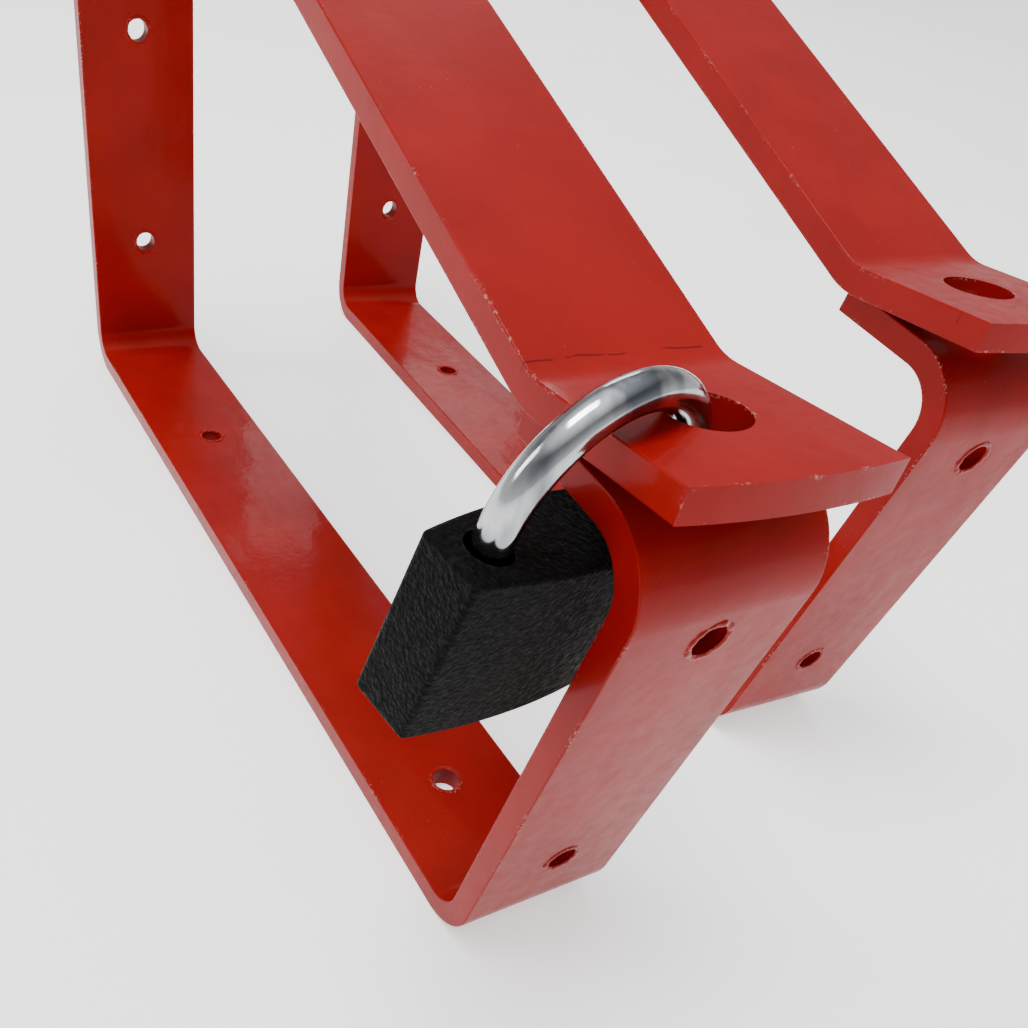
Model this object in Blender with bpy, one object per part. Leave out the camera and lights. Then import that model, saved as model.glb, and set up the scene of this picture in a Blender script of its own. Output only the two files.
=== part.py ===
"""A pair of lockable wall storage brackets, one of them closed with a padlock.

Each bracket is one bent flat bar: a back plate for the wall, a level arm, an upright that leans
outward and a short flange on top. A strap of the same bar swings on a pin at the top of the back
plate and comes down over the flange, where both have a hole for a padlock's shackle.
X runs along the wall and the arms stick out towards -Y. The near bracket's back plate is on the
plane y = 0. The far bracket stands loose, set back and turned a little, so it has its own plane.
"""

import math

import bmesh
import bpy
from mathutils import Matrix, Vector

# Flat bar, in metres.
BAR_WIDTH = 0.030
BAR_THICK = 0.0045
BAR_EDGE = 0.0006
FAR_OFFSET = (0.0944, 0.0226)
FAR_TURN = math.radians(-2.9)
WALL_MOUNT_LEVEL = 0.0640
PIECE_GAP = 0.0003
ARC_STEP = math.radians(15)

# Bracket frame: the reach is from the back plate's face to the foot of the upright.
ARM_REACH = 0.221
UPRIGHT_LEAN = math.radians(8.5)
CORNER_RADIUS = 0.00825
FLANGE_CORNER_RADIUS = 0.00975
FLANGE_END_Y = -0.2136
FLANGE_END_Z = 0.0953
FLANGE_FALL = math.radians(5.7)
FLANGE_HOLE_Y = -0.2268
BACK_HOLES_Z = (0.0370, 0.0910)
ARM_HOLES_Y = (-0.0629, -0.1992)
UPRIGHT_HOLES = (0.0175, 0.0726)
SCREW_HOLE_RADIUS = 0.0029
LOCK_HOLE_RADIUS = 0.0055

# Strap: its bend lies just over the flange, and the tab is beyond the bend.
STRAP_BEND_Y = -0.2166
STRAP_BEND_Z = 0.1001
STRAP_FALL = math.radians(20.4)
TAB_RISE = math.radians(4.0)
TAB_LENGTH = 0.0264
TAB_BOW = 0.0012
STRAP_BEND_RADIUS = 0.0125
TAB_HOLE_FROM_END = 0.0138
TAB_SKEW = 0.0022
SIDE_PLAY = {"near": -0.0023, "far": -0.0050}

# Hinge: eyes rolled round a riveted pin.
PIN_RADIUS = 0.0025
FRAME_EYE_INNER = 0.00275
STRAP_EYE_INNER = 0.0026
EYE_CURL = math.radians(285)
FRAME_KNUCKLE = 0.007
STRAP_KNUCKLE = 0.010
RIVET_HEAD_RADIUS = 0.0047
RIVET_HEAD_HEIGHT = 0.0022
WASHER_RADIUS = 0.0049
WASHER_THICK = 0.0010

# Padlock, in its own frame: X across the body, Z up along the shackle's legs, z = 0 on its top.
LOCK_AT = (-0.0152, -0.2284, 0.0873)
LOCK_TURN = (math.radians(6.5), math.radians(9.2), math.radians(10.5))
LOCK_HALF_WIDTH = 0.0207
LOCK_END_THICK = 0.0094
LOCK_MID_THICK = 0.0136
LOCK_HEIGHT = 0.0243
LOCK_WALL = 0.0020
LOCK_TOP_WALL = 0.0030
LOCK_EDGE = 0.0007
LEG_SPACING = 0.0297
LEG_RADIUS = 0.00235
LEG_STRAIGHT = 0.0034
LONG_LEG_DEPTH = 0.0155
SHORT_LEG_DEPTH = 0.0090
LEG_SOCKET_RADIUS = 0.0030
LEG_BORE_RADIUS = 0.00265
LATCH_THICK = 0.0014
LATCH_LEVEL = -0.0045
LATCH_BITE = 0.0010
CRANK_RADIUS = 0.00255
CRANK_PIN_RADIUS = 0.0008
PLUG_RADIUS = 0.0035
PLUG_BORE_RADIUS = 0.0038
BASE_THICK = 0.0012
PIN_STACK_LEVELS = (-0.0130, -0.0160, -0.0190, -0.0220)
TUMBLER_RADIUS = 0.0008
TUMBLER_BORE_RADIUS = 0.00105
STOP_PIN_RADIUS = 0.0008
SHACKLE_RISE = 0.0090

BAR_WIDTH_HALF = BAR_WIDTH / 2
FRAME_EYE_CENTRE_RADIUS = FRAME_EYE_INNER + BAR_THICK / 2
STRAP_EYE_CENTRE_RADIUS = STRAP_EYE_INNER + BAR_THICK / 2
HINGE_Y = -(BAR_THICK + FRAME_EYE_INNER)


def clear_scene():
    for obj in list(bpy.data.objects):
        bpy.data.objects.remove(obj, do_unlink=True)


def material(name, colour, roughness, metallic):
    made = bpy.data.materials.new(name)
    made.use_nodes = True
    shader = made.node_tree.nodes["Principled BSDF"]
    shader.inputs["Base Color"].default_value = (*colour, 1.0)
    shader.inputs["Roughness"].default_value = roughness
    shader.inputs["Metallic"].default_value = metallic
    return made


def object_from(name, mesh_data, look):
    """Puts a bmesh in the scene as a named object with one material."""
    bmesh.ops.recalc_face_normals(mesh_data, faces=mesh_data.faces)
    mesh = bpy.data.meshes.new(name)
    mesh_data.to_mesh(mesh)
    mesh_data.free()
    if look is not None:
        mesh.materials.append(look)
    mesh.shade_smooth()
    mesh.set_sharp_from_angle(angle=math.radians(35))
    obj = bpy.data.objects.new(name, mesh)
    bpy.context.scene.collection.objects.link(obj)
    return obj


def bevel(obj, width, segments=2):
    modifier = obj.modifiers.new("edges", "BEVEL")
    modifier.width = width
    modifier.segments = segments
    modifier.limit_method = "ANGLE"
    modifier.angle_limit = math.radians(50)


def cut(obj, cutter):
    cutter.hide_render = True
    cutter.display_type = "WIRE"
    modifier = obj.modifiers.new("cut", "BOOLEAN")
    modifier.operation = "DIFFERENCE"
    modifier.solver = "EXACT"
    modifier.object = cutter


def join_to(obj, extra):
    """Adds the solid of another object to this one."""
    extra.hide_render = True
    extra.display_type = "WIRE"
    modifier = obj.modifiers.new("join", "BOOLEAN")
    modifier.operation = "UNION"
    modifier.solver = "EXACT"
    modifier.object = extra


def box(name, low, high, look=None):
    made = bmesh.new()
    bmesh.ops.create_cube(made, size=1.0)
    centre = (Vector(low) + Vector(high)) / 2
    side = Vector(high) - Vector(low)
    for vertex in made.verts:
        vertex.co = centre + Vector(c * s for c, s in zip(vertex.co, side))
    return object_from(name, made, look)


def turned(name, profile, look=None, steps=24, axis="Z", at=(0, 0, 0)):
    """A solid of revolution from (radius, height) points, which start and end on the axis."""
    made = bmesh.new()
    rings = []
    for radius, height in profile:
        if radius == 0:
            rings.append([made.verts.new((0, 0, height))])
            continue
        angles = [2 * math.pi * k / steps for k in range(steps)]
        rings.append([made.verts.new((radius * math.cos(a), radius * math.sin(a), height)) for a in angles])
    for first, second in zip(rings, rings[1:]):
        for k in range(steps):
            after = (k + 1) % steps
            corners = [first[k % len(first)], first[after % len(first)]]
            corners += [second[after % len(second)], second[k % len(second)]]
            made.faces.new(list(dict.fromkeys(corners)))
    for vertex in made.verts:
        x, y, z = vertex.co
        vertex.co = {"X": (z, x, y), "Y": (y, z, x), "Z": (x, y, z)}[axis]
        vertex.co += Vector(at)
    return object_from(name, made, look)


def rod(name, radius, low, high, look=None, steps=24, axis="Z", at=(0, 0, 0)):
    return turned(name, [(0, low), (radius, low), (radius, high), (0, high)], look, steps, axis, at)


def prism(name, outline, low, high, look=None):
    """An (x, y) outline raised from one level to another."""
    made = bmesh.new()
    floor = made.faces.new([made.verts.new((x, y, low)) for x, y in outline])
    raised = bmesh.ops.extrude_face_region(made, geom=[floor])["geom"]
    for item in raised:
        if isinstance(item, bmesh.types.BMVert):
            item.co.z = high
    return object_from(name, made, look)


def meeting_point(point_a, way_a, point_b, way_b):
    """Where two lines in the YZ plane cross."""
    across = way_a.x * way_b.y - way_a.y * way_b.x
    offset = point_b - point_a
    return point_a + way_a * ((offset.x * way_b.y - offset.y * way_b.x) / across)


def rounded_path(corners, radii):
    """The bar's centreline: straight runs joined by arcs of the given centreline radii."""
    path = [corners[0]]
    for before, corner, after, radius in zip(corners, corners[1:], corners[2:], radii):
        towards = (corner - before).normalized()
        onwards = (after - corner).normalized()
        turn = math.atan2(towards.x * onwards.y - towards.y * onwards.x, towards.dot(onwards))
        side = math.copysign(1, turn)
        start = corner - towards * radius * math.tan(abs(turn) / 2)
        centre = start + Vector((-towards.y, towards.x)) * radius * side
        path += arc(centre, start, turn)
    return path + [corners[-1]]


def arc(centre, start, turn):
    """Points from start, turned about centre in the YZ plane by up to the whole turn."""
    steps = max(2, round(abs(turn) / ARC_STEP))
    spoke = start - centre
    points = []
    for k in range(steps + 1):
        angle = turn * k / steps
        swung = Vector((
            spoke.x * math.cos(angle) - spoke.y * math.sin(angle),
            spoke.x * math.sin(angle) + spoke.y * math.cos(angle),
        ))
        points.append(centre + swung)
    return points


def bent_bar(name, path, look):
    """The flat bar laid on edge along a centreline of (y, z) points, BAR_WIDTH wide in X."""
    made = bmesh.new()
    rows = []
    for k, point in enumerate(path):
        before = (point - path[k - 1]).normalized() if k else None
        after = (path[k + 1] - point).normalized() if k + 1 < len(path) else None
        way = ((before or after) + (after or before)).normalized()
        lean = way.dot(before or after)
        normal = Vector((-way.y, way.x)) * BAR_THICK / 2 / lean
        row = []
        for side, x in ((1, -BAR_WIDTH_HALF), (1, BAR_WIDTH_HALF), (-1, BAR_WIDTH_HALF), (-1, -BAR_WIDTH_HALF)):
            spot = point + normal * side
            row.append(made.verts.new((x, spot.x, spot.y)))
        rows.append(row)
    for first, second in zip(rows, rows[1:]):
        for k in range(4):
            made.faces.new((first[k], first[(k + 1) % 4], second[(k + 1) % 4], second[k]))
    made.faces.new(rows[0][::-1])
    made.faces.new(rows[-1])
    obj = object_from(name, made, look)
    bevel(obj, BAR_EDGE)
    return obj


def strap_lines():
    """The strap's way up to the wall, and its normal, both in the YZ plane."""
    way = Vector((math.cos(STRAP_FALL), math.sin(STRAP_FALL)))
    return way, Vector((-way.y, way.x))


def hinge_centre():
    """The pin's axis: the strap's top face passes it at the outer radius of the strap's eye."""
    way, normal = strap_lines()
    level = normal.dot(Vector((STRAP_BEND_Y, STRAP_BEND_Z))) - STRAP_EYE_INNER - BAR_THICK
    return Vector((HINGE_Y, (level - normal.x * HINGE_Y) / normal.y))


def frame_path():
    lean = Vector((-math.sin(UPRIGHT_LEAN), math.cos(UPRIGHT_LEAN)))
    foot = Vector((-(BAR_THICK + ARM_REACH), BAR_THICK)) + Vector((-lean.y, lean.x)) * BAR_THICK / 2
    outward = Vector((-math.cos(FLANGE_FALL), -math.sin(FLANGE_FALL)))
    flange_up = Vector((outward.y, -outward.x))
    flange_end = Vector((FLANGE_END_Y, FLANGE_END_Z)) - flange_up * BAR_THICK / 2
    level = Vector((1, 0))
    arm = Vector((0, BAR_THICK / 2))
    corners = [
        flange_end,
        meeting_point(flange_end, outward, foot, lean),
        meeting_point(foot, lean, arm, level),
        Vector((-BAR_THICK / 2, BAR_THICK / 2)),
        Vector((-BAR_THICK / 2, hinge_centre().y)),
    ]
    path = rounded_path(corners, (FLANGE_CORNER_RADIUS, CORNER_RADIUS, CORNER_RADIUS))
    return path + arc(hinge_centre(), corners[-1], EYE_CURL)[1:]


def strap_path():
    way, normal = strap_lines()
    start = hinge_centre() + normal * STRAP_EYE_CENTRE_RADIUS
    outward = Vector((-math.cos(TAB_RISE), math.sin(TAB_RISE)))
    tab_up = Vector((outward.y, -outward.x))
    on_tab = Vector((STRAP_BEND_Y, STRAP_BEND_Z)) - tab_up * BAR_THICK / 2
    bend = meeting_point(on_tab, outward, start, way)
    corners = [on_tab + outward * (TAB_LENGTH + TAB_BOW + TAB_SKEW), bend, start]
    return rounded_path(corners, (STRAP_BEND_RADIUS,)) + arc(hinge_centre(), start, -EYE_CURL)[1:]


def bar_hole(name, at, way, radius):
    """A cutter for a round hole through the bar, at a (y, z) point and along a direction."""
    reach = 3 * BAR_THICK
    cutter = rod(name, radius, -reach, reach, steps=28)
    cutter.rotation_euler = (math.atan2(-way.x, way.y), 0, 0)
    cutter.location = (0, at.x, at.y)
    return cutter


def knuckle_gap(name, low_x, high_x, radius):
    """A cutter round the hinge's axis that makes room for the other piece's knuckle."""
    centre = hinge_centre()
    return rod(name, radius, low_x, high_x, steps=28, axis="X", at=(0, centre.x, centre.y))


def bracket_frame(name, look):
    """One bent bar: back plate, arm, upright, flange and the two outer hinge eyes."""
    frame = bent_bar(name, frame_path(), look)
    cutters = []
    for k, z in enumerate(BACK_HOLES_Z):
        cutters.append(bar_hole(f"{name}_back_hole_{k}", Vector((0, z)), Vector((1, 0)), SCREW_HOLE_RADIUS))
    for k, y in enumerate(ARM_HOLES_Y):
        cutters.append(bar_hole(f"{name}_arm_hole_{k}", Vector((y, 0)), Vector((0, 1)), SCREW_HOLE_RADIUS))
    lean = Vector((-math.sin(UPRIGHT_LEAN), math.cos(UPRIGHT_LEAN)))
    for k, height in enumerate(UPRIGHT_HOLES):
        at = Vector((-(BAR_THICK + ARM_REACH), BAR_THICK)) + lean * height
        cutters.append(bar_hole(f"{name}_upright_hole_{k}", at, Vector((-lean.y, lean.x)), SCREW_HOLE_RADIUS))
    fall = Vector((-math.sin(FLANGE_FALL), math.cos(FLANGE_FALL)))
    at = Vector((FLANGE_HOLE_Y, FLANGE_END_Z))
    cutters.append(bar_hole(f"{name}_lock_hole", at, fall, LOCK_HOLE_RADIUS))
    inner = BAR_WIDTH_HALF - FRAME_KNUCKLE
    room = STRAP_EYE_INNER + BAR_THICK + 0.0006
    cutters.append(knuckle_gap(f"{name}_knuckle_gap", -inner, inner, room))
    for cutter in cutters:
        cut(frame, cutter)
    return [frame] + cutters


def tab_end(name):
    """A cutter that rounds the tab's front edge to a shallow bow."""
    radius = (BAR_WIDTH_HALF**2 + TAB_BOW**2) / (2 * TAB_BOW)
    tip = strap_path()[0].x
    spread = math.asin(BAR_WIDTH_HALF * 1.2 / radius)
    outline = []
    for k in range(13):
        angle = spread * (k - 6) / 6
        x = radius * math.sin(angle)
        outline.append((x, tip + radius * (1 - math.cos(angle)) + TAB_SKEW * (0.5 - x / BAR_WIDTH)))
    outline += [(BAR_WIDTH, tip - BAR_WIDTH), (-BAR_WIDTH, tip - BAR_WIDTH)]
    return prism(name, outline, STRAP_BEND_Z - BAR_WIDTH, STRAP_BEND_Z + BAR_WIDTH)


def strap(name, side, look):
    """The swinging bar: an eye, a sloping run and a tab with the padlock hole."""
    made = bent_bar(name, strap_path(), look)
    half = STRAP_KNUCKLE / 2
    room = FRAME_EYE_INNER + BAR_THICK + 0.0006
    centre = -SIDE_PLAY[side] - BAR_WIDTH_HALF + FRAME_KNUCKLE + PIECE_GAP + half
    cutters = [
        knuckle_gap(f"{name}_gap_left", -BAR_WIDTH, centre - half, room),
        knuckle_gap(f"{name}_gap_right", centre + half, BAR_WIDTH, room),
        tab_end(f"{name}_tab_end"),
    ]
    outward = Vector((-math.cos(TAB_RISE), math.sin(TAB_RISE)))
    at = strap_path()[0] - outward * (TAB_HOLE_FROM_END + TAB_BOW + TAB_SKEW)
    up = Vector((outward.y, -outward.x))
    cutters.append(bar_hole(f"{name}_lock_hole", at, up, LOCK_HOLE_RADIUS))
    # The strap's origin is on the hinge axis, so that it turns there.
    pivot = Vector((0, hinge_centre().x, hinge_centre().y))
    made.data.transform(Matrix.Translation(-pivot))
    made.location = pivot
    for piece in [made] + cutters:
        piece.location.x += SIDE_PLAY[side]
    for cutter in cutters:
        cut(made, cutter)
    return [made] + cutters


def hinge_pin(name, look):
    """A rivet with a domed head on the left and a peened end on the right."""
    half = BAR_WIDTH_HALF + PIECE_GAP
    right = half + WASHER_THICK + PIECE_GAP
    head = RIVET_HEAD_RADIUS
    tall = RIVET_HEAD_HEIGHT
    profile = [(0, -half - tall), (head * 0.5, -half - tall * 0.88), (head * 0.87, -half - tall * 0.5)]
    profile += [(head, -half), (PIN_RADIUS, -half), (PIN_RADIUS, right)]
    profile += [(head * 0.8, right), (head * 0.7, right + tall * 0.4), (head * 0.35, right + tall * 0.6)]
    profile += [(0, right + tall * 0.65)]
    centre = hinge_centre()
    made = turned(name, profile, look, steps=24, axis="X")
    made.location = (0, centre.x, centre.y)
    return [made]


def hinge_washer(name, look):
    centre = hinge_centre()
    made = rod(name, WASHER_RADIUS, 0, WASHER_THICK, look, axis="X")
    hole = rod(f"{name}_hole", PIN_RADIUS + PIECE_GAP, -WASHER_THICK, 2 * WASHER_THICK, axis="X")
    for piece in (made, hole):
        piece.location = (BAR_WIDTH_HALF + PIECE_GAP, centre.x, centre.y)
    cut(made, hole)
    return [made, hole]


def lock_outline(inset):
    """The padlock's plan: flat ends, and front and back faces that swell towards the middle."""
    half_width = LOCK_HALF_WIDTH - inset
    steps = 12
    front = []
    for k in range(steps + 1):
        x = -half_width + 2 * half_width * k / steps
        swell = 1 - (x / LOCK_HALF_WIDTH) ** 2
        front.append((x, -(LOCK_END_THICK + (LOCK_MID_THICK - LOCK_END_THICK) * swell) / 2 + inset))
    return front + [(x, -y) for x, y in reversed(front)]


def lock_shell(look):
    """The outer casing, open underneath, with a socket for each leg in its top."""
    shell = prism("padlock_shell", lock_outline(0), -LOCK_HEIGHT, 0, look)
    bevel(shell, LOCK_EDGE)
    cavity = prism("shell_cavity", lock_outline(LOCK_WALL), -2 * LOCK_HEIGHT, -LOCK_TOP_WALL)
    cutters = [cavity]
    for side in (-1, 1):
        at = (side * LEG_SPACING / 2, 0, 0)
        cutters.append(rod(f"shell_socket_{side}", LEG_SOCKET_RADIUS, -LOCK_HEIGHT / 2, LOCK_HEIGHT, at=at))
    for cutter in cutters:
        cut(shell, cutter)
    return [shell] + cutters


def latch_travel():
    """How far the crank draws the latch back in a quarter turn."""
    return 2 * CRANK_RADIUS * math.sin(math.pi / 4)


def latch_plan():
    """Low and high corners of the latch's plate and of its tongue, in the lock's X and Y."""
    crank = CRANK_RADIUS * math.sin(math.pi / 4)
    plate = (crank - 0.0050, -0.0042, crank + 0.0036, 0.0042)
    tip = LEG_SPACING / 2 - LEG_RADIUS + LATCH_BITE
    tongue = (plate[2] - 0.0010, -0.0014, tip, 0.0014)
    return plate, tongue


def lock_core(look):
    """The cast block inside the shell, with the leg bores, the latch's groove and the plug's bore."""
    top = -LOCK_TOP_WALL - PIECE_GAP
    bottom = -LOCK_HEIGHT + BASE_THICK + PIECE_GAP
    core = prism("padlock_core", lock_outline(LOCK_WALL + PIECE_GAP), bottom, top, look)
    plate, tongue = latch_plan()
    floor = LATCH_LEVEL - LATCH_THICK / 2 - PIECE_GAP
    groove_low = (plate[0] - latch_travel() - PIECE_GAP, plate[1] - PIECE_GAP, floor)
    groove = box("core_groove", groove_low, (plate[2] + PIECE_GAP, plate[3] + PIECE_GAP, 0))
    slot_low = (plate[2] - 0.001, tongue[1] - PIECE_GAP, floor)
    slot = box("core_tongue_slot", slot_low, (LEG_SPACING / 2, tongue[3] + PIECE_GAP, 0))
    long_end = -LONG_LEG_DEPTH - 0.0062
    long_at = (-LEG_SPACING / 2, 0, 0)
    short_end = -SHORT_LEG_DEPTH - 0.0006
    short_at = (LEG_SPACING / 2, 0, 0)
    cutters = [groove, slot]
    cutters.append(rod("core_long_bore", LEG_BORE_RADIUS, long_end, 0.001, at=long_at))
    cutters.append(rod("core_short_bore", LEG_BORE_RADIUS, short_end, 0.001, at=short_at))
    cutters.append(rod("core_plug_bore", PLUG_BORE_RADIUS, -LOCK_HEIGHT, floor + 0.0005))
    for k, level in enumerate(PIN_STACK_LEVELS):
        low, high = -0.0087, -0.0020
        cutters.append(rod(f"core_chamber_{k}", TUMBLER_BORE_RADIUS, low, high, steps=12, axis="X", at=(0, 0, level)))
    stop_at = (-LEG_SPACING / 2 - LEG_RADIUS, 0, stop_pin_level())
    cutters.append(rod("core_stop_bore", STOP_PIN_RADIUS + PIECE_GAP / 2, -0.01, 0.01, steps=12, axis="Y", at=stop_at))
    for cutter in cutters:
        cut(core, cutter)
    return [core] + cutters


def stop_pin_level():
    """The stop pin sits at the top of the long leg's flat, so the leg can rise by SHACKLE_RISE."""
    return -LONG_LEG_DEPTH + 0.0020 + SHACKLE_RISE


def lock_shackle(look):
    """A round bar bent to a U; the short leg has the latch's notch and the long leg a flat."""
    half = LEG_SPACING / 2
    steps = 14
    line = [(-half, -LONG_LEG_DEPTH), (-half, LEG_STRAIGHT)]
    for k in range(1, steps):
        angle = math.pi * (1 - k / steps)
        line.append((half * math.cos(angle), LEG_STRAIGHT + half * math.sin(angle)))
    line += [(half, LEG_STRAIGHT), (half, -SHORT_LEG_DEPTH)]
    sides = 16
    made = bmesh.new()
    rings = []
    for k, (x, z) in enumerate(line):
        angle = math.pi * (k - 1) / steps if 0 < k < len(line) - 1 else (0 if k == 0 else math.pi)
        across = (-math.cos(angle), math.sin(angle))
        ring = []
        for j in range(sides):
            turn = 2 * math.pi * j / sides
            out = LEG_RADIUS * math.cos(turn)
            ring.append(made.verts.new((x + across[0] * out, LEG_RADIUS * math.sin(turn), z + across[1] * out)))
        rings.append(ring)
    for first, second in zip(rings, rings[1:]):
        for j in range(sides):
            made.faces.new((first[j], first[(j + 1) % sides], second[(j + 1) % sides], second[j]))
    made.faces.new(rings[0])
    made.faces.new(rings[-1])
    shackle = object_from("padlock_shackle", made, look)
    bevel(shackle, 0.0005, 1)
    top = LATCH_LEVEL + LATCH_THICK / 2 + 2 * PIECE_GAP
    bottom = LATCH_LEVEL - LATCH_THICK / 2 - 2 * PIECE_GAP
    inner = half - LEG_RADIUS
    notch = wedge("shackle_notch", inner, inner + LATCH_BITE + PIECE_GAP, (top, bottom, bottom - 0.0027))
    outer = -half - LEG_RADIUS
    flat_low = (outer - 0.001, -0.005, -LONG_LEG_DEPTH + 0.0010)
    flat_high = (outer + STOP_PIN_RADIUS + PIECE_GAP, 0.005, stop_pin_level() + STOP_PIN_RADIUS + PIECE_GAP)
    flat = box("shackle_flat", flat_low, flat_high)
    for cutter in (notch, flat):
        cut(shackle, cutter)
    return [shackle, notch, flat]


def wedge(name, face, depth, levels):
    """A notch cutter: square at its top, and sloping out to the leg's face at its foot."""
    top, bottom, foot = levels
    made = bmesh.new()
    outline = [(face - 0.002, top), (depth, top), (depth, bottom), (face, foot), (face - 0.002, foot)]
    for y in (-0.004, 0.004):
        made.faces.new([made.verts.new((x, y, z)) for x, z in outline])
    made.verts.ensure_lookup_table()
    count = len(outline)
    for k in range(count):
        after = (k + 1) % count
        made.faces.new([made.verts[k], made.verts[after], made.verts[count + after], made.verts[count + k]])
    return object_from(name, made, None)


def lock_latch(look):
    """The sliding bolt: a plate with a slot for the crank pin, and a tongue for the short leg."""
    plate, tongue = latch_plan()
    low = LATCH_LEVEL - LATCH_THICK / 2
    high = LATCH_LEVEL + LATCH_THICK / 2
    outline = [(plate[0], plate[1]), (plate[2], plate[1]), (plate[2], tongue[1]), (tongue[2], tongue[1])]
    outline += [(tongue[2], tongue[3]), (plate[2], tongue[3]), (plate[2], plate[3]), (plate[0], plate[3])]
    latch = prism("padlock_latch", outline, low, high, look)
    crank = CRANK_RADIUS * math.sin(math.pi / 4)
    half = CRANK_PIN_RADIUS + PIECE_GAP
    slot = box(
        "latch_slot",
        (crank - half, crank - half, low - 0.001),
        (crank + half, CRANK_RADIUS + half, high + 0.001),
    )
    cut(latch, slot)
    return [latch, slot]


def lock_plug(look):
    """The key plug, with a keyway, a bore for each tumbler and a crank pin on its top."""
    top = LATCH_LEVEL - LATCH_THICK / 2 - 2 * PIECE_GAP
    bottom = -LOCK_HEIGHT
    neck = bottom + BASE_THICK + 2 * PIECE_GAP
    face = 0.0026
    profile = [(0, bottom), (face, bottom), (face, neck), (PLUG_RADIUS, neck), (PLUG_RADIUS, top), (0, top)]
    plug = turned("padlock_plug", profile, look, steps=24)
    at = CRANK_RADIUS * math.sin(math.pi / 4)
    crank = rod("plug_crank", CRANK_PIN_RADIUS, top - 0.001, LATCH_LEVEL + LATCH_THICK / 2, steps=12, at=(at, at, 0))
    join_to(plug, crank)
    keyway = box("plug_keyway", (-0.0020, -0.0005, bottom - 0.001), (0.0020, 0.0005, PIN_STACK_LEVELS[0]))
    cutters = [keyway]
    for k, level in enumerate(PIN_STACK_LEVELS):
        bore = rod(f"plug_bore_{k}", TUMBLER_BORE_RADIUS, -0.0050, -0.0004, steps=12, axis="X", at=(0, 0, level))
        cutters.append(bore)
    for cutter in cutters:
        cut(plug, cutter)
    return [plug, crank] + cutters


def tumbler_stacks(brass, steel):
    """A key pin in the plug, a driver pin in the core and a spring behind it, at each level."""
    made = []
    for k, level in enumerate(PIN_STACK_LEVELS):
        at = (0, 0, level)
        made.append(rod(f"key_pin_{k + 1}", TUMBLER_RADIUS, -0.0033, -0.0008, brass, 12, "X", at))
        made.append(rod(f"driver_pin_{k + 1}", TUMBLER_RADIUS, -0.0062, -0.0039, steel, 12, "X", at))
        made.append(coil(f"pin_spring_{k + 1}", 0.00065, 0.00014, 0.0021, 3, steel, "X", (-0.0085, 0, level)))
    return made


def coil(name, radius, wire, length, turns, look, axis, at):
    """A helical spring of round wire that runs along the axis from its start."""
    per_turn, sides = 9, 5
    made = bmesh.new()
    rings = []
    for k in range(turns * per_turn + 1):
        angle = 2 * math.pi * k / per_turn
        along = wire + (length - 2 * wire) * k / (turns * per_turn)
        ring = []
        for j in range(sides):
            turn = 2 * math.pi * j / sides
            spread = radius + wire * math.cos(turn)
            height = along + wire * math.sin(turn)
            spot = Vector((spread * math.cos(angle), spread * math.sin(angle), height))
            if axis == "X":
                spot = Vector((spot.z, spot.x, spot.y))
            ring.append(made.verts.new(spot + Vector(at)))
        rings.append(ring)
    for first, second in zip(rings, rings[1:]):
        for j in range(sides):
            made.faces.new((first[j], first[(j + 1) % sides], second[(j + 1) % sides], second[j]))
    made.faces.new(rings[0])
    made.faces.new(rings[-1])
    return object_from(name, made, look)


def lock_base(look):
    """The plate that closes the shell's underside and holds the plug in."""
    outline = lock_outline(LOCK_WALL + PIECE_GAP)
    base = prism("padlock_base_plate", outline, -LOCK_HEIGHT, -LOCK_HEIGHT + BASE_THICK, look)
    hole = rod("base_plug_hole", 0.0029, -LOCK_HEIGHT - 0.001, -LOCK_HEIGHT + 0.003)
    cut(base, hole)
    return [base, hole]


def padlock(coat, chrome, steel, brass, zinc):
    """All of the padlock's pieces, in the padlock's own frame."""
    pieces = lock_shell(coat) + lock_core(zinc) + lock_shackle(chrome) + lock_latch(steel)
    pieces += lock_plug(brass) + tumbler_stacks(brass, steel) + lock_base(steel)
    spring_at = (-LEG_SPACING / 2, 0, -LONG_LEG_DEPTH - 0.0060)
    pieces.append(coil("shackle_spring", 0.0018, 0.0003, 0.0056, 4, steel, "Z", spring_at))
    stop_at = (-LEG_SPACING / 2 - LEG_RADIUS, 0, stop_pin_level())
    pieces.append(rod("shackle_stop_pin", STOP_PIN_RADIUS, -0.0029, 0.0029, steel, 12, "Y", stop_at))
    return pieces


def hung(name, pieces, location, turn):
    """Hangs pieces from an empty that holds their place and tilt."""
    origin = bpy.data.objects.new(name, None)
    bpy.context.scene.collection.objects.link(origin)
    origin.location = location
    origin.rotation_mode = "ZYX"
    origin.rotation_euler = turn
    for piece in pieces:
        piece.parent = origin
    return [origin]


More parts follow.
